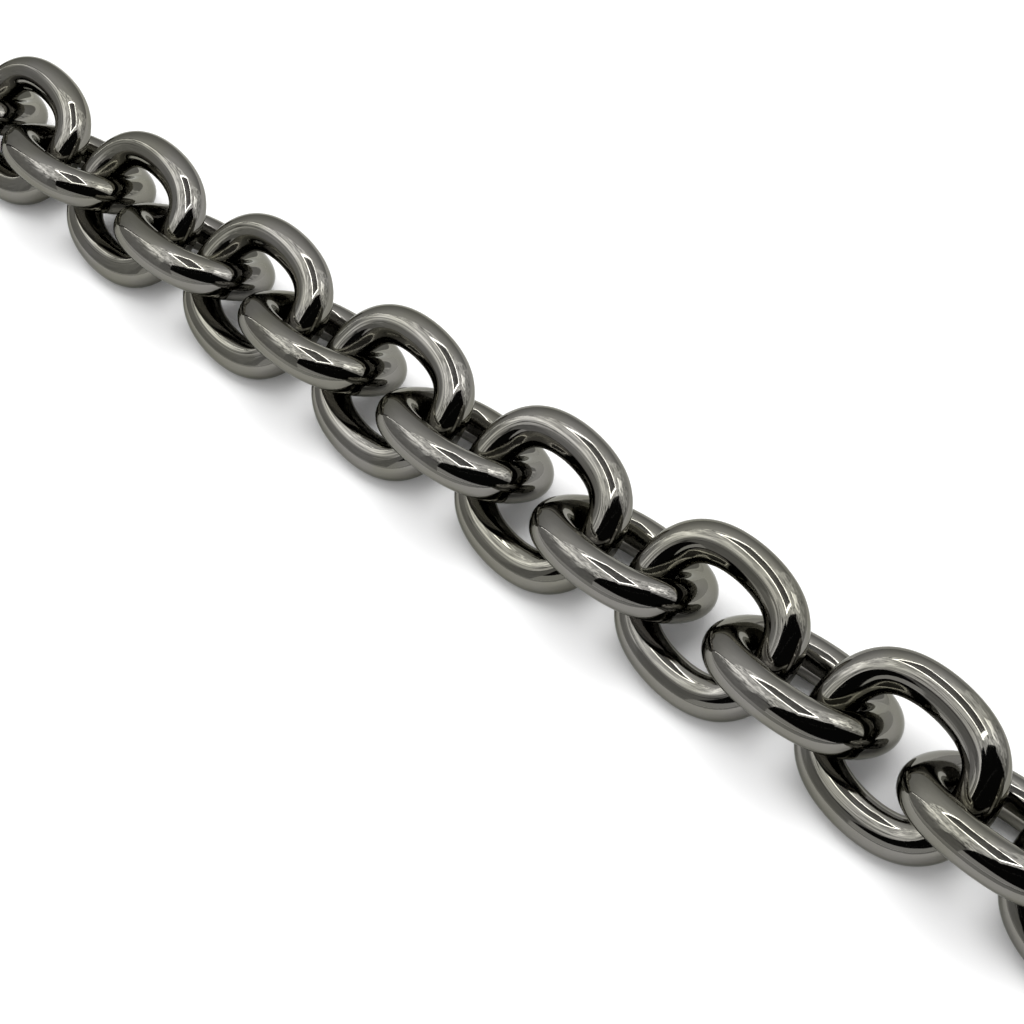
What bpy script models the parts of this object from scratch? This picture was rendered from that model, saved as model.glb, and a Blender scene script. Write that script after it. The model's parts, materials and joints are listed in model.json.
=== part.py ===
"""One foot of oval link chain, bent from round aluminium wire, lying straight on a level floor.

Every link is one closed ring of wire. Neighbouring links lean 36 degrees to either side of the
chain's line, and each end bend cradles the next link's wire.
The chain runs along X, is centred on X = 0 and Y = 0, and rests on Z = 0.
All lengths are in metres.
"""

from math import ceil, pi

import bmesh
import bpy
import numpy as np
from mathutils import Matrix, Vector

WIRE_DIAMETER = 0.006
LINK_LENGTH = 0.028  # outside, along the chain
LINK_WIDTH = 0.0243  # outside, across the link
LINK_SQUARENESS = 2.4  # exponent of the oval's superellipse: 2 is a plain ellipse
LINK_LEAN = pi / 5  # how far a link's plane leans from the floor
LINK_COUNT = 19
RUNNING_GAP = 0.0003  # between the wires of two linked rings

WIRE_SIDES = 20  # one every 18 degrees, so that a flat faces down on a leaning link
RING_SEGMENTS = 20  # a multiple of 4, so that each side and end has a straight piece at its middle

WIRE_RADIUS = WIRE_DIAMETER / 2
HALF_LENGTH = LINK_LENGTH / 2 - WIRE_RADIUS  # of the wire's centre line
HALF_WIDTH = LINK_WIDTH / 2 - WIRE_RADIUS
PITCH = LINK_LENGTH - 2 * WIRE_DIAMETER - RUNNING_GAP  # from one link's centre to the next one's

GUNMETAL = (0.165, 0.160, 0.148, 1.0)
POLISHED_ROUGHNESS = 0.12


def clear_scene():
    """Remove every object that the new file holds."""
    for thing in list(bpy.data.objects):
        bpy.data.objects.remove(thing, do_unlink=True)


def gunmetal_finish(name):
    """A polished, dark plated metal."""
    material = bpy.data.materials.new(name)
    material.use_nodes = True
    shader = material.node_tree.nodes["Principled BSDF"]
    shader.inputs["Base Color"].default_value = GUNMETAL
    shader.inputs["Metallic"].default_value = 1.0
    shader.inputs["Roughness"].default_value = POLISHED_ROUGHNESS
    return material


def oval_corners():
    """Corners of the wire's centre line: a superellipse cut into straight pieces of even turn.

    A point at angle t is (A sgn(cos t) |cos t|^(2/q), B sgn(sin t) |sin t|^(2/q)). The corners
    stand half a step from the axes, and the whole outline is then scaled so that the straight
    pieces at its ends and sides lie at the full half length and half width.
    """
    step = 2 * pi / RING_SEGMENTS
    angle = (np.arange(RING_SEGMENTS) + 0.5) * step
    power = 2 / LINK_SQUARENESS
    along = np.sign(np.cos(angle)) * np.abs(np.cos(angle)) ** power
    across = np.sign(np.sin(angle)) * np.abs(np.sin(angle)) ** power
    return np.column_stack(
        [along * HALF_LENGTH / along.max(), across * HALF_WIDTH / across.max()]
    )


def wire_ring_mesh(name):
    """One link's mesh, lying flat in XY with its length along X.

    The wire's section is a regular polygon whose flats lie at the wire's radius. The pieces
    are straight bars that meet in mitres, so every flat of the section stays flat.
    """
    corners = oval_corners()
    ahead = np.roll(corners, -1, axis=0) - corners
    ahead /= np.linalg.norm(ahead, axis=1)[:, None]
    behind = np.roll(ahead, 1, axis=0)
    mitre = np.column_stack([ahead[:, 1] + behind[:, 1], -ahead[:, 0] - behind[:, 0]])
    mitre /= np.linalg.norm(mitre, axis=1)[:, None]
    half_turn_cosine = mitre[:, 0] * ahead[:, 1] - mitre[:, 1] * ahead[:, 0]

    corner_radius = WIRE_RADIUS / np.cos(pi / WIRE_SIDES)
    around = (np.arange(WIRE_SIDES) + 0.5) * 2 * pi / WIRE_SIDES
    shell = bmesh.new()
    rings = []
    for corner, out, cosine in zip(corners, mitre, half_turn_cosine):
        ring = []
        for turn in around:
            flat = corner + out * corner_radius * np.cos(turn) / cosine
            height = corner_radius * np.sin(turn)
            ring.append(shell.verts.new((flat[0], flat[1], height)))
        rings.append(ring)
    for here, there in zip(rings, rings[1:] + rings[:1]):
        for k in range(WIRE_SIDES):
            m = (k + 1) % WIRE_SIDES
            shell.faces.new((here[k], there[k], there[m], here[m]))
    bmesh.ops.recalc_face_normals(shell, faces=shell.faces)
    mesh = bpy.data.meshes.new(name)
    shell.to_mesh(mesh)
    shell.free()
    mesh.shade_smooth()
    return mesh


def place_link(number, mesh, finish):
    """Hang link `number`, counted from 1 at the -X end, on the chain's line."""
    link = bpy.data.objects.new(f"link_{number:02d}", mesh)
    bpy.context.scene.collection.objects.link(link)
    link.material_slots[0].link = "OBJECT"
    link.material_slots[0].material = finish
    middle = ceil(LINK_COUNT / 2)
    lean = LINK_LEAN if number % 2 else -LINK_LEAN
    height = HALF_WIDTH * np.sin(LINK_LEAN) + WIRE_RADIUS
    place = Vector(((number - middle) * PITCH, 0, height))
    link.matrix_world = Matrix.Translation(place) @ Matrix.Rotation(lean, 4, "X")
    return link


def build_chain():
    """Make one ring's mesh and hang a link on it for every place in the chain."""
    clear_scene()
    mesh = wire_ring_mesh("wire_ring")
    mesh.materials.append(None)  # a slot that each link fills with its own material
    for number in range(1, LINK_COUNT + 1):
        place_link(number, mesh, gunmetal_finish(f"gunmetal_{number:02d}"))


build_chain()
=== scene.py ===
"""The look of a straight length of oval link chain in polished gunmetal wire.

Every link is one smooth ring of round wire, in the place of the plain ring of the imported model
that it stands for. The stage is a white floor inside a tent of crinkled silver cloth with a
four-sided lamp frame under its roof, and a camera at the photograph's angle. The tent shows in
the metal's reflections only. All lengths are in metres.
"""

import json
from math import cos, pi, radians, sin

import bpy
import numpy as np
from bpy.props import FloatProperty, FloatVectorProperty, IntProperty, PointerProperty
from mathutils import Matrix, Vector

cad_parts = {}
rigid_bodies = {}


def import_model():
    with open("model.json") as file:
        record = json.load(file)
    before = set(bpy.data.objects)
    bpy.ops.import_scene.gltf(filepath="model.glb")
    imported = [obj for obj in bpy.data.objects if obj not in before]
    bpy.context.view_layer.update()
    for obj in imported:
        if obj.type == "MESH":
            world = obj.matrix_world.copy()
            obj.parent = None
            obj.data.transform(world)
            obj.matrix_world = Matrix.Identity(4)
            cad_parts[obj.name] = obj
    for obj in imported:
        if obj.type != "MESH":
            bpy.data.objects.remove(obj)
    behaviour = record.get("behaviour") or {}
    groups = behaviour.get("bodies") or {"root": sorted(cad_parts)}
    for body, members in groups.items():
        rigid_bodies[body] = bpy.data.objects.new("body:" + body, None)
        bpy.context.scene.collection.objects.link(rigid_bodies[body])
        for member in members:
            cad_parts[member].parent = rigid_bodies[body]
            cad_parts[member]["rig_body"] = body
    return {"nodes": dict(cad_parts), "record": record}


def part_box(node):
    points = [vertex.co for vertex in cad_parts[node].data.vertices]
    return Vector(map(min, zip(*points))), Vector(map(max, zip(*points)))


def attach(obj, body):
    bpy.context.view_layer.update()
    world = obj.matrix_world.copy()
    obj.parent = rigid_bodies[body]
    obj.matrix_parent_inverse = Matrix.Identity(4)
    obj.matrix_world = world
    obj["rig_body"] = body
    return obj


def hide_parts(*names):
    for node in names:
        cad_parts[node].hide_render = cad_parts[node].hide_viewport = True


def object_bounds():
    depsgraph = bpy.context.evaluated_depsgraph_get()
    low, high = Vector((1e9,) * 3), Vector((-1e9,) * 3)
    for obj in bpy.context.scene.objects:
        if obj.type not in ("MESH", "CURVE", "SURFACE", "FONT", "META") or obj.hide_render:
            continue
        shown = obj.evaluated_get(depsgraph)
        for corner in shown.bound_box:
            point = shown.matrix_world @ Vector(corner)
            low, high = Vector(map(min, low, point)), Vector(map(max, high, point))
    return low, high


bl_info = {
    "name": "Oval link chain",
    "version": (1, 0, 0),
    "blender": (4, 5, 0),
    "location": "3D View > Sidebar > Chain",
    "description": "Dresses a length of oval link chain in polished gunmetal and lights it",
    "category": "Object",
}

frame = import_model()
CAD_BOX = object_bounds()

LINK_NODES = sorted(frame["nodes"])
PLATING_COLOUR = frame["record"]["materials"][0]["base_color"]
LEAN = pi / 5  # odd links lean this far to one side, and even links to the other


def frame_sizes():
    """Wire diameter, link length and link width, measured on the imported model.

    The mount on an end bend's inner face lies one wire in from the chain's lowest X. A link's
    box is as high as the half width's rise on the leaning plane, plus a wire radius, twice.
    """
    inner_face = next(
        mount for mount in frame["record"]["mounts"] if mount["name"] == "end_bend_low_x"
    )
    wire = inner_face["pos_m"][0] - CAD_BOX[0].x
    low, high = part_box(LINK_NODES[0])
    half_width = ((high.z - low.z) / 2 - wire / 2) / sin(LEAN)
    return wire, high.x - low.x, 2 * half_width + wire


WIRE, LINK_LENGTH, LINK_WIDTH = frame_sizes()


class LinkSizes(bpy.types.PropertyGroup):
    """The shape of one ring."""

    wire: FloatProperty(
        name="Wire diameter",
        description="Diameter of the round wire that the links are bent from",
        default=WIRE,
        min=0.001,
        max=0.03,
        unit="LENGTH",
    )
    length: FloatProperty(
        name="Link length",
        description="Outside length of one link, along the chain",
        default=LINK_LENGTH,
        min=0.005,
        max=0.2,
        unit="LENGTH",
    )
    width: FloatProperty(
        name="Link width",
        description="Outside width of one link, across the chain",
        default=LINK_WIDTH,
        min=0.005,
        max=0.2,
        unit="LENGTH",
    )
    lean: FloatProperty(
        name="Lean",
        description="How far a link's plane leans from the floor",
        default=LEAN,
        subtype="ANGLE",
    )
    settling: FloatProperty(
        name="Settling",
        description="How far a link has turned in its own plane, in the bends of its neighbours",
        default=radians(-7),
        subtype="ANGLE",
    )
    fullness: FloatProperty(
        name="Fullness",
        description="How far the oval's shoulders swell past a plain ellipse",
        default=0.03,
        min=0.0,
        max=0.1,
    )
    steps_along: IntProperty(
        name="Steps along the wire",
        description="Grid steps around the ring",
        default=224,
        min=32,
    )
    steps_round: IntProperty(
        name="Steps round the wire",
        description="Grid steps around the wire's section",
        default=56,
        min=12,
    )


class GunmetalFinish(bpy.types.PropertyGroup):
    """The polished dark plating of the wire."""

    plating: FloatVectorProperty(
        name="Plating",
        description="Colour of the plating, seen straight on",
        default=(*PLATING_COLOUR, 1.0),
        size=4,
        subtype="COLOR",
        min=0.0,
        max=1.0,
    )
    warm_plating: FloatVectorProperty(
        name="Warm patches",
        description="Colour of the plating where it has taken a little thicker",
        default=(0.152, 0.148, 0.126, 1.0),
        size=4,
        subtype="COLOR",
        min=0.0,
        max=1.0,
    )
    rim_tint: FloatVectorProperty(
        name="Rim tint",
        description="Reflection at a glancing angle, as a share of a bare metal's",
        default=(0.60, 0.60, 0.57, 1.0),
        size=4,
        subtype="COLOR",
        min=0.0,
        max=1.0,
    )
    polish: FloatProperty(
        name="Polish",
        description="Roughness where the polish is best",
        default=0.035,
        min=0.0,
        max=1.0,
    )
    haze: FloatProperty(
        name="Haze",
        description="Roughness that polishing lines and handling add",
        default=0.05,
        min=0.0,
        max=1.0,
    )
    rubbed: FloatProperty(
        name="Rubbed bends",
        description="Roughness that the next link's rubbing adds inside the end bends",
        default=0.06,
        min=0.0,
        max=1.0,
    )
    line_depth: FloatProperty(
        name="Line depth",
        description="Depth of the polishing lines along the wire",
        default=0.0000016,
        min=0.0,
        max=0.0001,
        precision=7,
        unit="LENGTH",
    )
    wave_depth: FloatProperty(
        name="Wave depth",
        description="Depth of the soft waves that bending and polishing leave",
        default=0.0000045,
        min=0.0,
        max=0.0001,
        precision=6,
        unit="LENGTH",
    )


class StudioSettings(bpy.types.PropertyGroup):
    """The floor, the silver tent, the lamps and the camera."""

    floor_colour: FloatVectorProperty(
        name="Floor",
        description="Colour of the floor",
        default=(0.90, 0.90, 0.90, 1.0),
        size=4,
        subtype="COLOR",
        min=0.0,
        max=1.0,
    )
    room_light: FloatProperty(
        name="Room light",
        description="Brightness of the pale surroundings",
        default=0.95,
        min=0.0,
    )
    key_light: FloatProperty(
        name="Key light",
        description="Strength of the soft light from above, which only the floor shows",
        default=2.2,
        min=0.0,
    )
    lamp_light: FloatProperty(
        name="Lamp frame",
        description="Brightness of the four lamp strips in the metal's reflections",
        default=14.0,
        min=0.0,
    )
    lining_light: FloatProperty(
        name="Silver lining",
        description="Brightness of the tent's silver cloth next to the lamps",
        default=2.8,
        min=0.0,
    )
    azimuth: FloatProperty(
        name="Azimuth",
        description="Turn of the camera about the vertical: 0 looks along +Y",
        default=radians(50.24),
        subtype="ANGLE",
    )
    elevation: FloatProperty(
        name="Elevation",
        description="Height of the camera above the horizon",
        default=radians(49.27),
        subtype="ANGLE",
    )
    roll: FloatProperty(
        name="Roll",
        description="Turn of the camera about its own line of sight",
        default=radians(-6.33),
        subtype="ANGLE",
    )
    distance: FloatProperty(
        name="Distance",
        description="From the camera to the point that it looks at",
        default=0.2735,
        min=0.01,
        unit="LENGTH",
    )
    aim: FloatVectorProperty(
        name="Aim",
        description="The point at the middle of the picture",
        default=(0.0143, -0.0045, 0.0084),
        size=3,
        subtype="XYZ",
        unit="LENGTH",
    )
    focal_length: FloatProperty(
        name="Focal length",
        description="Focal length on a 36 mm wide sensor, in millimetres",
        default=69.0,
        min=10.0,
    )


# The rings

WIDE_CIRCLE, SMALL_CIRCLE = 16.0, 1.4  # the noise's steps round the wire, and along it
NEXT_RING = 11.3  # from one ring's place in the noise to the next ring's
BEND_EDGE = 0.75  # cosine of the turn angle where the rubbed part of a bend ends


def oval_line(half_length, half_width, fullness, count):
    """Points of the wire's centre line, evenly spaced, and the turn angle at each.

    The oval is an ellipse with a third harmonic that fills its shoulders. At turn t it is
    x = half length times ((1 + f) cos t - f cos 3t), y = half width times ((1 + f) sin t
    + f sin 3t), for a fullness f. The points are read off at equal steps of the line's length.
    """
    turn = np.linspace(0, 2 * pi, 40 * count + 1)
    x = half_length * ((1 + fullness) * np.cos(turn) - fullness * np.cos(3 * turn))
    y = half_width * ((1 + fullness) * np.sin(turn) + fullness * np.sin(3 * turn))
    travelled = np.concatenate([[0], np.cumsum(np.hypot(np.diff(x), np.diff(y)))])
    even = np.linspace(0, travelled[-1], count, endpoint=False)
    turn_there = np.interp(even, travelled, turn)
    line = np.column_stack([np.interp(even, travelled, x), np.interp(even, travelled, y)])
    return line, turn_there


def ring_surface(sizes):
    """A flat ring of round wire: its points and the two angles at each.

    At every point of the centre line the section is a circle of the wire's radius, square to
    the line. A point is the centre, plus the radius times (cos p times the direction out of
    the oval plus sin p times the upright), for an angle p round the wire.
    """
    radius = sizes.wire / 2
    line, turn = oval_line(
        sizes.length / 2 - radius, sizes.width / 2 - radius, sizes.fullness, sizes.steps_along
    )
    tangent = np.roll(line, -1, axis=0) - np.roll(line, 1, axis=0)
    tangent /= np.linalg.norm(tangent, axis=1)[:, None]
    outward = np.column_stack([tangent[:, 1], -tangent[:, 0], np.zeros(len(line))])
    round_wire = np.arange(sizes.steps_round) * 2 * pi / sizes.steps_round
    direction = (
        np.cos(round_wire)[None, :, None] * outward[:, None, :]
        + np.sin(round_wire)[None, :, None] * np.array([0.0, 0.0, 1.0])
    )
    centre = np.column_stack([line, np.zeros(len(line))])
    points = centre[:, None, :] + radius * direction
    turn_grid, round_grid = np.meshgrid(turn, round_wire, indexing="ij")
    return points, turn_grid, round_grid


def closed_grid_faces(rows, columns):
    """Corner numbers of the quads of a grid that closes on itself both ways, facing out."""
    row, column = np.meshgrid(np.arange(rows), np.arange(columns), indexing="ij")
    next_row = (row + 1) % rows
    next_column = (column + 1) % columns
    corners = [
        row * columns + column,
        next_row * columns + column,
        next_row * columns + next_column,
        row * columns + next_column,
    ]
    return np.stack(corners, axis=-1).reshape(-1, 4)


def mesh_of_quads(name, points, faces):
    """A smooth mesh of these points and four-cornered faces, set as whole arrays."""
    mesh = bpy.data.meshes.new(name)
    mesh.vertices.add(len(points))
    mesh.vertices.foreach_set("co", points.astype(np.float32).ravel())
    mesh.loops.add(faces.size)
    mesh.loops.foreach_set("vertex_index", faces.astype(np.int32).ravel())
    mesh.polygons.add(len(faces))
    mesh.polygons.foreach_set("loop_start", np.arange(0, faces.size, 4, dtype=np.int32))
    mesh.update(calc_edges=True)
    mesh.validate()
    mesh.shade_smooth()
    return mesh


def leaning_at(points, settling, lean, centre):
    """The points turned in their plane, then about X by the lean, then moved to the centre."""
    turn = np.array(Matrix.Rotation(lean, 3, "X") @ Matrix.Rotation(settling, 3, "Z"))
    return points @ turn.T + np.array(centre)


def write_wire_attributes(mesh, number, turn, round_wire):
    """Give the material three values at every point of a ring.

    wire_place and wire_turn hold the two angles as two circles in four dimensions, so that a
    noise read there closes on itself round the wire and along it. The first circle is wide, and
    so its noise is fine round the wire; the second is small, and so it is drawn out along it.
    Each ring's number moves its second circle to another place in the noise.
    wire_rub is 1 on the inner side of the two end bends, where the next link lies, and fades
    to 0 about an eighth of a turn away.
    """
    place = np.stack(
        [
            WIDE_CIRCLE * np.cos(round_wire),
            WIDE_CIRCLE * np.sin(round_wire),
            SMALL_CIRCLE * np.cos(turn),
        ],
        axis=-1,
    )
    shifted_turn = SMALL_CIRCLE * np.sin(turn) + NEXT_RING * number
    inner_side = np.clip(-np.cos(round_wire), 0, 1) ** 2
    end_bend = np.clip((np.abs(np.cos(turn)) - BEND_EDGE) / (1 - BEND_EDGE), 0, 1)
    rub = inner_side * end_bend * end_bend * (3 - 2 * end_bend)
    values = {
        "wire_place": ("FLOAT_VECTOR", "vector", place),
        "wire_turn": ("FLOAT", "value", shifted_turn),
        "wire_rub": ("FLOAT", "value", rub),
    }
    for name, (kind, field, array) in values.items():
        attribute = mesh.attributes.new(name, kind, "POINT")
        attribute.data.foreach_set(field, array.astype(np.float32).ravel())


def make_ring(node, sizes, flat_ring, faces, metal):
    """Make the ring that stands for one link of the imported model, at that link's place."""
    points, turn, round_wire = flat_ring
    number = int(node.rsplit("_", 1)[1])
    low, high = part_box(node)
    lean = sizes.lean if number % 2 else -sizes.lean
    placed = leaning_at(points.reshape(-1, 3), sizes.settling, lean, (low + high) / 2)
    mesh = mesh_of_quads(f"ring_{number:02d}", placed, faces)
    write_wire_attributes(mesh, number, turn, round_wire)
    mesh.materials.append(metal)
    ring = bpy.data.objects.new(f"ring_{number:02d}", mesh)
    bpy.context.scene.collection.objects.link(ring)
    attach(ring, frame["nodes"][node]["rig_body"])
    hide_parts(node)


# Node trees

def add_node(tree, kind, inputs=None, **settings):
    """A node of this kind, with its settings and the values or links of its inputs."""
    node = tree.nodes.new(kind)
    for key, value in settings.items():
        setattr(node, key, value)
    for key, value in (inputs or {}).items():
        if isinstance(value, bpy.types.NodeSocket):
            tree.links.new(value, node.inputs[key])
        else:
            node.inputs[key].default_value = value
    return node


def calculate(tree, operation, *values, clamp=False):
    """The output of a Math node with these values or links."""
    node = add_node(
        tree, "ShaderNodeMath", dict(enumerate(values)), operation=operation, use_clamp=clamp
    )
    return node.outputs[0]


def new_group(name, inputs, outputs):
    """An empty shader group with these named inputs and outputs, and its two end nodes.

    Inputs are (name, socket type, default value), and outputs are (name, socket type).
    """
    group = bpy.data.node_groups.new(name, "ShaderNodeTree")
    for label, kind, default in inputs:
        socket = group.interface.new_socket(name=label, in_out="INPUT", socket_type=kind)
        if default is not None:
            socket.default_value = default
    for label, kind in outputs:
        group.interface.new_socket(name=label, in_out="OUTPUT", socket_type=kind)
    return group, group.nodes.new("NodeGroupInput"), group.nodes.new("NodeGroupOutput")


def new_material(name):
    """A material with only an output node, and its node tree."""
    material = bpy.data.materials.new(name)
    material.use_nodes = True
    material.node_tree.nodes.clear()
    return material, material.node_tree, material.node_tree.nodes.new("ShaderNodeOutputMaterial")


def polishing_lines_group():
    """Fine lines along the wire, and the mask of where they are dense.

    A stretched noise on the wire's own four-dimensional place gives the lines, and a slower
    noise on the same place says where the polishing wheel has left more of them.
    """
    group, given, result = new_group(
        "polishing_lines",
        [("Place", "NodeSocketVector", None), ("Turn", "NodeSocketFloat", 0.0)],
        [("Lines", "NodeSocketFloat"), ("Dense", "NodeSocketFloat")],
    )
    place = {"Vector": given.outputs["Place"], "W": given.outputs["Turn"]}
    lines = add_node(
        group,
        "ShaderNodeTexNoise",
        {**place, "Scale": 1.0, "Detail": 3.0, "Roughness": 0.65},
        noise_dimensions="4D",
    )
    patches = add_node(
        group,
        "ShaderNodeTexNoise",
        {**place, "Scale": 0.12, "Detail": 1.0},
        noise_dimensions="4D",
    )
    spread = add_node(
        group,
        "ShaderNodeMapRange",
        {"Value": patches.outputs["Fac"], "From Min": 0.38, "From Max": 0.66},
        interpolation_type="SMOOTHSTEP",
    )
    group.links.new(lines.outputs["Fac"], result.inputs["Lines"])
    group.links.new(spread.outputs["Result"], result.inputs["Dense"])
    return group


def soft_patches_group():
    """Soft patches in the space of the object, from 0 to 1, at a given size in metres."""
    group, given, result = new_group(
        "soft_patches",
        [("Size", "NodeSocketFloat", 0.01), ("Detail", "NodeSocketFloat", 2.0)],
        [("Height", "NodeSocketFloat"), ("Mask", "NodeSocketFloat")],
    )
    coordinates = add_node(group, "ShaderNodeTexCoord")
    noise = add_node(
        group,
        "ShaderNodeTexNoise",
        {
            "Vector": coordinates.outputs["Object"],
            "Scale": calculate(group, "DIVIDE", 1.0, given.outputs["Size"]),
            "Detail": given.outputs["Detail"],
            "Roughness": 0.5,
        },
    )
    mask = add_node(
        group,
        "ShaderNodeMapRange",
        {"Value": noise.outputs["Fac"], "From Min": 0.35, "From Max": 0.65},
        interpolation_type="SMOOTHSTEP",
    )
    group.links.new(noise.outputs["Fac"], result.inputs["Height"])
    group.links.new(mask.outputs["Result"], result.inputs["Mask"])
    return group


def use_group(tree, group, inputs=None):
    """A node in this tree that holds the group."""
    return add_node(tree, "ShaderNodeGroup", inputs, node_tree=group)


SMUDGES = 0.45  # their share of the haze
RUBBED_LINES = 6  # how much deeper the lines get where links rub


def gunmetal_material(finish):
    """Polished gunmetal plating on round wire.

    Patches of a warmer tone vary its colour. Polishing lines, a handling haze and the rubbed
    inner side of the end bends vary its roughness, and lines and soft waves its surface.
    """
    material, tree, output = new_material("gunmetal_wire")
    lines_group, patches_group = polishing_lines_group(), soft_patches_group()
    place = add_node(tree, "ShaderNodeAttribute", attribute_name="wire_place")
    turn = add_node(tree, "ShaderNodeAttribute", attribute_name="wire_turn")
    rub = add_node(tree, "ShaderNodeAttribute", attribute_name="wire_rub").outputs["Fac"]
    lines = use_group(
        tree, lines_group, {"Place": place.outputs["Vector"], "Turn": turn.outputs["Fac"]}
    )
    tone = use_group(tree, patches_group, {"Size": 0.011, "Detail": 2.0})
    smudges = use_group(tree, patches_group, {"Size": 0.0045, "Detail": 4.0})
    waves = use_group(tree, patches_group, {"Size": 0.0018, "Detail": 1.0})

    colour = add_node(
        tree,
        "ShaderNodeMix",
        {0: tone.outputs["Mask"], 6: finish.plating, 7: finish.warm_plating},
        data_type="RGBA",
    )
    dense_lines = calculate(tree, "MULTIPLY", lines.outputs["Lines"], lines.outputs["Dense"])
    haze = calculate(tree, "MULTIPLY", smudges.outputs["Mask"], SMUDGES)
    haze = calculate(tree, "ADD", haze, dense_lines, clamp=True)
    roughness = calculate(tree, "MULTIPLY_ADD", haze, finish.haze, finish.polish)
    roughness = calculate(tree, "MULTIPLY_ADD", rub, finish.rubbed, roughness)

    height = calculate(tree, "MULTIPLY", waves.outputs["Height"], finish.wave_depth)
    more_depth = RUBBED_LINES * finish.line_depth
    depth = calculate(tree, "MULTIPLY_ADD", rub, more_depth, finish.line_depth)
    height = calculate(tree, "MULTIPLY_ADD", lines.outputs["Lines"], depth, height)
    bump = add_node(tree, "ShaderNodeBump", {"Height": height, "Strength": 1.0, "Distance": 1.0})

    shader = add_node(
        tree,
        "ShaderNodeBsdfPrincipled",
        {
            "Base Color": colour.outputs[2],
            "Metallic": 1.0,
            "Specular Tint": finish.rim_tint,
            "Roughness": roughness,
            "Normal": bump.outputs["Normal"],
        },
    )
    tree.links.new(shader.outputs["BSDF"], output.inputs["Surface"])
    return material


class CHAIN_OT_rings(bpy.types.Operator):
    """Make a smooth, polished ring of wire for every link"""

    bl_idname = "chain.rings"
    bl_label = "Wire rings"
    bl_options = {"REGISTER", "UNDO"}

    def execute(self, context):
        sizes = context.scene.chain_links
        metal = gunmetal_material(context.scene.chain_finish)
        flat_ring = ring_surface(sizes)
        faces = closed_grid_faces(sizes.steps_along, sizes.steps_round)
        for node in LINK_NODES:
            make_ring(node, sizes, flat_ring, faces, metal)
        return {"FINISHED"}


# The stage

TENT_LEFT, TENT_RIGHT = -0.330, 0.420  # from the camera's aim, as the camera looks
TENT_BACK, TENT_FRONT = 0.330, -0.360  # away from the camera, and towards it
TENT_ROOF = 0.450
LEFT_FRONT, RIGHT_FRONT = -0.190, -0.110  # where the silver sides end
RIGHT_EDGE = -0.170  # where the dimmer cloth on the right ends at the dark opening
LEFT_SPLIT = -0.060  # between the far and the near part of the left side
FAR_SILVER, NEAR_SILVER = 0.17, 0.27  # heights from which these parts are bright
FRONT_LEG = 0.150  # where the front's sloping lower edge meets the floor
FRONT_LOW, LEFT_LOW = 0.17, 0.15  # heights of the opening's lower edge on the left
PATCH_ENDS, PATCH_LOW = (0.130, -0.045), 0.19  # the brightest part of the right side
SEAM = 0.022  # width of the dark gap between the back and the silver cloth
SEAM_END = ((-0.116, 0.232), (-0.124, 0.222))  # its outer and inner corner on the roof
EDGE_END = (-0.130, 0.214)  # the bright edge's inner corner next to it
EDGE_LOW = 0.10  # height from which the edge on the side is bright
NEAR = 0.001  # from one sheet to the next that lies on it
LAMPS_MIDDLE = (0.058, 0.086)
LAMPS_TURN = radians(18)  # from the tent's right side
LAMPS_HALF_SIZES = (0.122, 0.180)  # to the middle lines of the four lamp strips
LAMPS_DROP = 0.006  # from the roof down to the strips
LAMP_WIDTH = 0.018
HALO_REACH = (0.070, 0.050)  # of the bright cloth past the middle lines of the strips
FAR_FLOOR = 0.045  # from the chain's line to the floor that only reflections show
FAR_FLOOR_END, FAR_FLOOR_HALF_LENGTH, FAR_FLOOR_RISE = 0.5, 0.4, 0.0004
FLOOR_HALF_SIZE = 3.0
SUN_SPREAD = radians(50)
WHITE = (1.0, 1.0, 1.0, 1.0)
DARKNESS = 0.01  # glow of the room outside the tent
FOLD_SWING = 6.0  # the folds' noise stays near its middle, and this spreads it
FOLD_FLOOR = 0.04  # least share of the glow that a fold leaves


def tent_to_world(settings):
    """The matrix from the tent's own axes, right and away from the camera, to the world's."""
    middle = Vector(settings.aim)
    middle.z = 0
    return Matrix.Translation(middle) @ Matrix.Rotation(settings.azimuth, 4, "Z")


def silver_lining_group():
    """Glow of crinkled silver cloth: it changes from one edge of a sheet to the other.

    The sheet's attribute rise is 0 along its first edge and 1 along the edge across from it.
    Folds in the cloth make the glow stronger or weaker by a share of itself.
    """
    group, given, result = new_group(
        "silver_lining",
        [
            ("First", "NodeSocketFloat", 1.0),
            ("Last", "NodeSocketFloat", 1.0),
            ("Crinkle", "NodeSocketFloat", 0.3),
            ("Fold Size", "NodeSocketFloat", 0.04),
        ],
        [("Glow", "NodeSocketColor")],
    )
    rise = add_node(group, "ShaderNodeAttribute", attribute_name="rise").outputs["Fac"]
    even = add_node(
        group,
        "ShaderNodeMapRange",
        {
            "Value": rise,
            "To Min": given.outputs["First"],
            "To Max": given.outputs["Last"],
        },
        interpolation_type="SMOOTHSTEP",
    )
    coordinates = add_node(group, "ShaderNodeTexCoord")
    folds = add_node(
        group,
        "ShaderNodeTexNoise",
        {
            "Vector": coordinates.outputs["Object"],
            "Scale": calculate(group, "DIVIDE", 1.0, given.outputs["Fold Size"]),
            "Detail": 4.0,
            "Roughness": 0.6,
            "Distortion": 1.0,
        },
    )
    swing = calculate(group, "SUBTRACT", folds.outputs["Fac"], 0.5)
    swing = calculate(group, "MULTIPLY", swing, given.outputs["Crinkle"])
    share = calculate(group, "MULTIPLY_ADD", swing, FOLD_SWING, 1.0)
    share = calculate(group, "MAXIMUM", share, FOLD_FLOOR)
    glow = calculate(group, "MULTIPLY", even.outputs["Result"], share)
    group.links.new(glow, result.inputs["Glow"])
    return group


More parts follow.
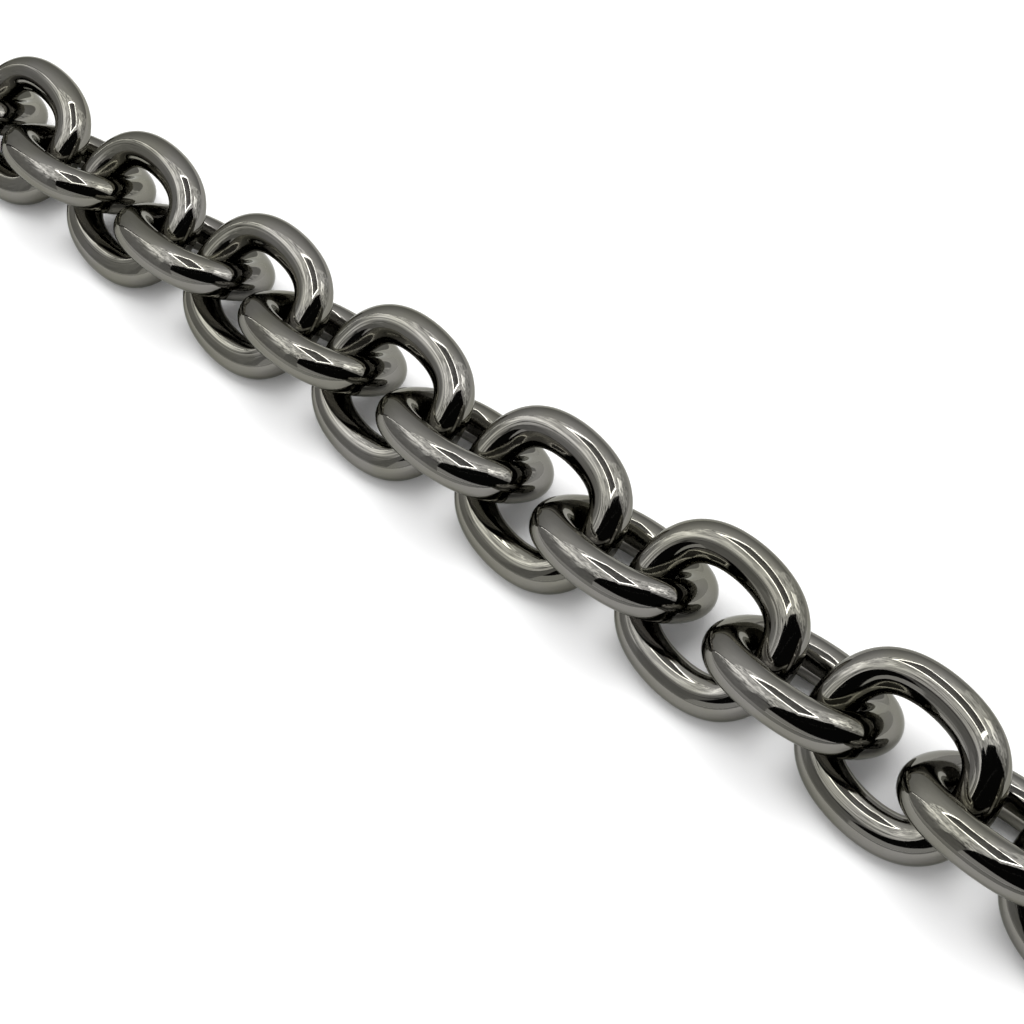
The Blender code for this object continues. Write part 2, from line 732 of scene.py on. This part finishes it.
def glowing_material(name, strength, group=None, inputs=None):
    """A surface that only gives off light, evenly or as the group says."""
    material, tree, output = new_material(name)
    glow = add_node(tree, "ShaderNodeEmission", {"Color": WHITE, "Strength": strength})
    if group is not None:
        tree.links.new(use_group(tree, group, inputs).outputs["Glow"], glow.inputs["Color"])
    tree.links.new(glow.outputs["Emission"], output.inputs["Surface"])
    return material


def stage_sheet(name, corners, place, material, in_reflections_only=True):
    """A flat four-cornered sheet of the stage, which may be seen in reflections only."""
    world = [place @ Vector(corner) for corner in corners]
    mesh = mesh_of_quads(name, np.array(world), np.array([[0, 1, 2, 3]]))
    rise = mesh.attributes.new("rise", "FLOAT", "POINT")
    rise.data.foreach_set("value", np.array([0, 0, 1, 1], dtype=np.float32))
    mesh.materials.append(material)
    sheet = bpy.data.objects.new(name, mesh)
    bpy.context.scene.collection.objects.link(sheet)
    if in_reflections_only:
        sheet.visible_camera = False
        sheet.visible_diffuse = False
        sheet.visible_shadow = False


def upright(x0, y0, x1, y1, low, high):
    """Corners of an upright sheet over the line from (x0, y0) to (x1, y1)."""
    return [(x0, y0, low), (x1, y1, low), (x1, y1, high), (x0, y0, high)]


def level(x0, x1, y0, y1, height):
    """Corners of a level sheet."""
    return [(x0, y0, height), (x1, y0, height), (x1, y1, height), (x0, y1, height)]


def make_floor(settings):
    """A wide, matt, pale floor at the chain's lowest point."""
    material, tree, output = new_material("floor")
    shader = add_node(
        tree,
        "ShaderNodeBsdfPrincipled",
        {
            "Base Color": settings.floor_colour,
            "Roughness": 0.9,
            "Specular IOR Level": 0.1,
        },
    )
    tree.links.new(shader.outputs["BSDF"], output.inputs["Surface"])
    corners = level(-FLOOR_HALF_SIZE, FLOOR_HALF_SIZE, -FLOOR_HALF_SIZE, FLOOR_HALF_SIZE, 0)
    stage_sheet("floor", corners, Matrix.Identity(4), material, in_reflections_only=False)


def folded(first, last, crinkle, fold=0.040):
    """Inputs of the silver lining: glow along two edges, and strength and size of the folds."""
    return {"First": first, "Last": last, "Crinkle": crinkle, "Fold Size": fold}


def lining_sheets(bright):
    """Corners and glow of the tent's pale back, its silver sides and its roof."""
    left, right, back, roof, split = TENT_LEFT, TENT_RIGHT, TENT_BACK, TENT_ROOF, LEFT_SPLIT
    roof_corners = [
        (left, back, roof),
        (left, LEFT_FRONT, roof),
        (right, RIGHT_FRONT, roof),
        (right, back, roof),
    ]
    return {
        "tent_back": (
            upright(left, back, right, back, 0, roof),
            folded(0.56, 1.3, 0.06, 0.10),
        ),
        "left_side_low": (
            upright(left, back - SEAM, left, split, 0, FAR_SILVER),
            folded(0.52, 0.62, 0.15, 0.035),
        ),
        "left_side_high": (
            upright(left, back - SEAM, left, split, FAR_SILVER, roof),
            folded(0.75, 1.2 * bright, 0.9, 0.065),
        ),
        "left_near_low": (
            upright(left, split, left, LEFT_FRONT, 0, NEAR_SILVER),
            folded(0.46, 0.42, 0.15, 0.035),
        ),
        "left_near_high": (
            upright(left, split, left, LEFT_FRONT, NEAR_SILVER, roof),
            folded(0.50, 0.80 * bright, 0.9, 0.065),
        ),
        "right_side": (
            upright(right, back, right, RIGHT_FRONT, 0, roof),
            folded(1.1, 0.70 * bright, 0.7, 0.050),
        ),
        "right_near": (
            upright(right, RIGHT_FRONT, right, RIGHT_EDGE, 0, roof),
            folded(0.7, 0.9, 0.8, 0.040),
        ),
        "roof": (roof_corners, folded(0.75 * bright, 0.66 * bright, 0.9, 0.060)),
        "bright_patch": (
            upright(right - NEAR, PATCH_ENDS[0], right - NEAR, PATCH_ENDS[1], PATCH_LOW, roof),
            folded(0.9 * bright, 1.9 * bright, 0.9, 0.050),
        ),
    }


def dark_openings():
    """Corners of the open front, seen through the tent's mouth, and of the dark seam."""
    left, right, back, front, roof = TENT_LEFT, TENT_RIGHT, TENT_BACK, TENT_FRONT, TENT_ROOF
    return {
        "opening_front": [
            (left, front, FRONT_LOW),
            (FRONT_LEG, front, 0),
            (right, front, roof),
            (left, front, roof),
        ],
        "opening_front_right": upright(FRONT_LEG, front, right, front, 0, roof),
        "opening_left": [
            (left, LEFT_FRONT, LEFT_LOW),
            (left, front, FRONT_LOW),
            (left, front, roof),
            (left, LEFT_FRONT, roof),
        ],
        "opening_right": upright(right, RIGHT_EDGE, right, front, 0, roof),
        "opening_roof": level(left, right, front, RIGHT_FRONT, roof + NEAR),
        "seam_side": upright(left + NEAR, back - SEAM, left + NEAR, back, 0, roof),
        "seam_roof": [
            (left, back - SEAM, roof - NEAR),
            (left, back, roof - NEAR),
            (*SEAM_END[0], roof - NEAR),
            (*SEAM_END[1], roof - NEAR),
        ],
    }


def bright_edges():
    """Corners of the pulled-back cloth along the seam, which catches the lamps."""
    left, roof = TENT_LEFT, TENT_ROOF
    seam, inner = TENT_BACK - SEAM, TENT_BACK - 1.5 * SEAM
    return {
        "edge_side": upright(left + NEAR, inner, left + NEAR, seam, EDGE_LOW, roof),
        "edge_roof": [
            (left, inner, roof - NEAR),
            (left, seam, roof - NEAR),
            (*SEAM_END[1], roof - NEAR),
            (*EDGE_END, roof - NEAR),
        ],
    }


def lamp_strips():
    """Corners of the four strips of the lamp frame, in the frame's own axes."""
    half = LAMP_WIDTH / 2
    x, y = LAMPS_HALF_SIZES
    return {
        "lamp_1": level(-x - half, -x + half, -y - half, y + half, 0),
        "lamp_2": level(x - half, x + half, -y - half, y + half, 0),
        "lamp_3": level(-x + half, x - half, -y - half, -y + half, 0),
        "lamp_4": level(-x + half, x - half, y - half, y + half, 0),
    }


def make_lamp_frame(settings, tent, lining):
    """The lamp strips under the roof, the dim cloth between them and the bright cloth behind."""
    place = tent @ Matrix.Translation((*LAMPS_MIDDLE, TENT_ROOF - LAMPS_DROP))
    place = place @ Matrix.Rotation(LAMPS_TURN, 4, "Z")
    lamp = glowing_material("lamp_strip", settings.lamp_light)
    for name, corners in lamp_strips().items():
        stage_sheet(name, corners, place, lamp)
    x, y = LAMPS_HALF_SIZES
    wide_x, wide_y = x + HALO_REACH[0], y + HALO_REACH[1]
    bright = settings.lining_light
    cloths = {
        "lamp_cloth": (x, y, 2 * NEAR, folded(0.5, 0.3, 0.6)),
        "lamp_halo": (
            wide_x, wide_y, 4 * NEAR, folded(0.60 * bright, 0.80 * bright, 1.0, 0.050)
        ),
    }
    for name, (x, y, z, glow) in cloths.items():
        corners = [(-x, y, z), (-x, -y, z), (x, -y, z), (x, y, z)]
        stage_sheet(name, corners, place, glowing_material(name, 1.0, lining, glow))


def make_far_floors(lining):
    """Glow of the floor past the chain's shadow, which falls along the chain."""
    x, z = FAR_FLOOR_HALF_LENGTH, FAR_FLOOR_RISE
    floors = {
        "far_floor_1": (FAR_FLOOR, FAR_FLOOR_END, 2.2),
        "far_floor_2": (-FAR_FLOOR_END, -FAR_FLOOR, 1.45),
    }
    for name, (y0, y1, first) in floors.items():
        corners = [(-x, y0, z), (-x, y1, z), (x, y1, z), (x, y0, z)]
        glow = glowing_material(name, 1.0, lining, folded(first, 0.30, 0.0))
        stage_sheet(name, corners, Matrix.Identity(4), glow)


def make_tent(settings):
    """The silver sheets, their dark seam, the lamp frame under the roof and the open front."""
    place = tent_to_world(settings)
    lining = silver_lining_group()
    for name, (corners, glow) in lining_sheets(settings.lining_light).items():
        stage_sheet(name, corners, place, glowing_material(name, 1.0, lining, glow))
    dark = glowing_material("dark_opening", DARKNESS)
    for name, corners in dark_openings().items():
        stage_sheet(name, corners, place, dark)
    edge = glowing_material("bright_edge", 2.0 * settings.lining_light)
    for name, corners in bright_edges().items():
        stage_sheet(name, corners, place, edge)
    make_lamp_frame(settings, place, lining)
    make_far_floors(lining)


def make_room_light(settings):
    """The pale surroundings, and a broad sun from the lamp frame's side for the floor."""
    world = bpy.data.worlds.new("pale_room")
    world.use_nodes = True
    background = world.node_tree.nodes["Background"]
    background.inputs["Color"].default_value = WHITE
    background.inputs["Strength"].default_value = settings.room_light
    bpy.context.scene.world = world

    place = tent_to_world(settings)
    source = place @ Vector((*LAMPS_MIDDLE, TENT_ROOF))
    towards = source - place.translation
    sun = bpy.data.lights.new("key_light", "SUN")
    sun.energy = settings.key_light
    sun.angle = SUN_SPREAD
    key = bpy.data.objects.new("key_light", sun)
    key.rotation_mode = "QUATERNION"
    key.rotation_quaternion = towards.to_track_quat("Z", "Y")
    key.location = source
    key.visible_glossy = False
    bpy.context.scene.collection.objects.link(key)


def make_camera(settings):
    """A camera on its line of sight through the aim, turned about that line by the roll."""
    azimuth, elevation, roll = settings.azimuth, settings.elevation, settings.roll
    back = Vector(
        (
            sin(azimuth) * cos(elevation),
            -cos(azimuth) * cos(elevation),
            sin(elevation),
        )
    )
    level_right = Vector((0, 0, 1)).cross(back).normalized()
    level_up = back.cross(level_right)
    right = cos(roll) * level_right + sin(roll) * level_up
    up = cos(roll) * level_up - sin(roll) * level_right
    lens = bpy.data.cameras.new("camera")
    lens.lens = settings.focal_length
    lens.sensor_width = 36
    lens.clip_start = 0.01
    lens.clip_end = 20
    camera = bpy.data.objects.new("camera", lens)
    turned = Matrix((right, up, back)).transposed().to_4x4()
    camera.matrix_world = (
        Matrix.Translation(Vector(settings.aim) + settings.distance * back) @ turned
    )
    bpy.context.scene.collection.objects.link(camera)
    bpy.context.scene.camera = camera


class CHAIN_OT_stage(bpy.types.Operator):
    """Make the floor, the silver tent with its lamps, the room light and the camera"""

    bl_idname = "chain.stage"
    bl_label = "Floor, light and camera"
    bl_options = {"REGISTER", "UNDO"}

    def execute(self, context):
        settings = context.scene.chain_studio
        make_floor(settings)
        make_tent(settings)
        make_room_light(settings)
        make_camera(settings)
        context.scene.view_settings.view_transform = "Standard"
        return {"FINISHED"}


# The add-on

class CHAIN_PT_sidebar(bpy.types.Panel):
    """Sizes, finish and studio of the chain"""

    bl_idname = "CHAIN_PT_sidebar"
    bl_label = "Oval link chain"
    bl_space_type = "VIEW_3D"
    bl_region_type = "UI"
    bl_category = "Chain"

    def draw(self, context):
        scene = context.scene
        sections = [
            ("Links", scene.chain_links, "chain.rings"),
            ("Finish", scene.chain_finish, None),
            ("Studio", scene.chain_studio, "chain.stage"),
        ]
        for title, settings, operator in sections:
            box = self.layout.box()
            box.label(text=title)
            for name in settings.__annotations__:
                box.prop(settings, name)
            if operator:
                box.operator(operator)


CLASSES = (
    LinkSizes,
    GunmetalFinish,
    StudioSettings,
    CHAIN_OT_rings,
    CHAIN_OT_stage,
    CHAIN_PT_sidebar,
)
SETTINGS = {
    "chain_links": LinkSizes,
    "chain_finish": GunmetalFinish,
    "chain_studio": StudioSettings,
}


def register():
    """Register the classes, and hang the three groups of settings on the scene."""
    for each in CLASSES:
        bpy.utils.register_class(each)
    for name, group in SETTINGS.items():
        setattr(bpy.types.Scene, name, PointerProperty(type=group))


def unregister():
    """Take the settings and the classes away again."""
    for name in SETTINGS:
        delattr(bpy.types.Scene, name)
    for each in reversed(CLASSES):
        bpy.utils.unregister_class(each)


def main():
    register()
    bpy.ops.chain.rings()
    bpy.ops.chain.stage()


if __name__ == "__main__":
    main()
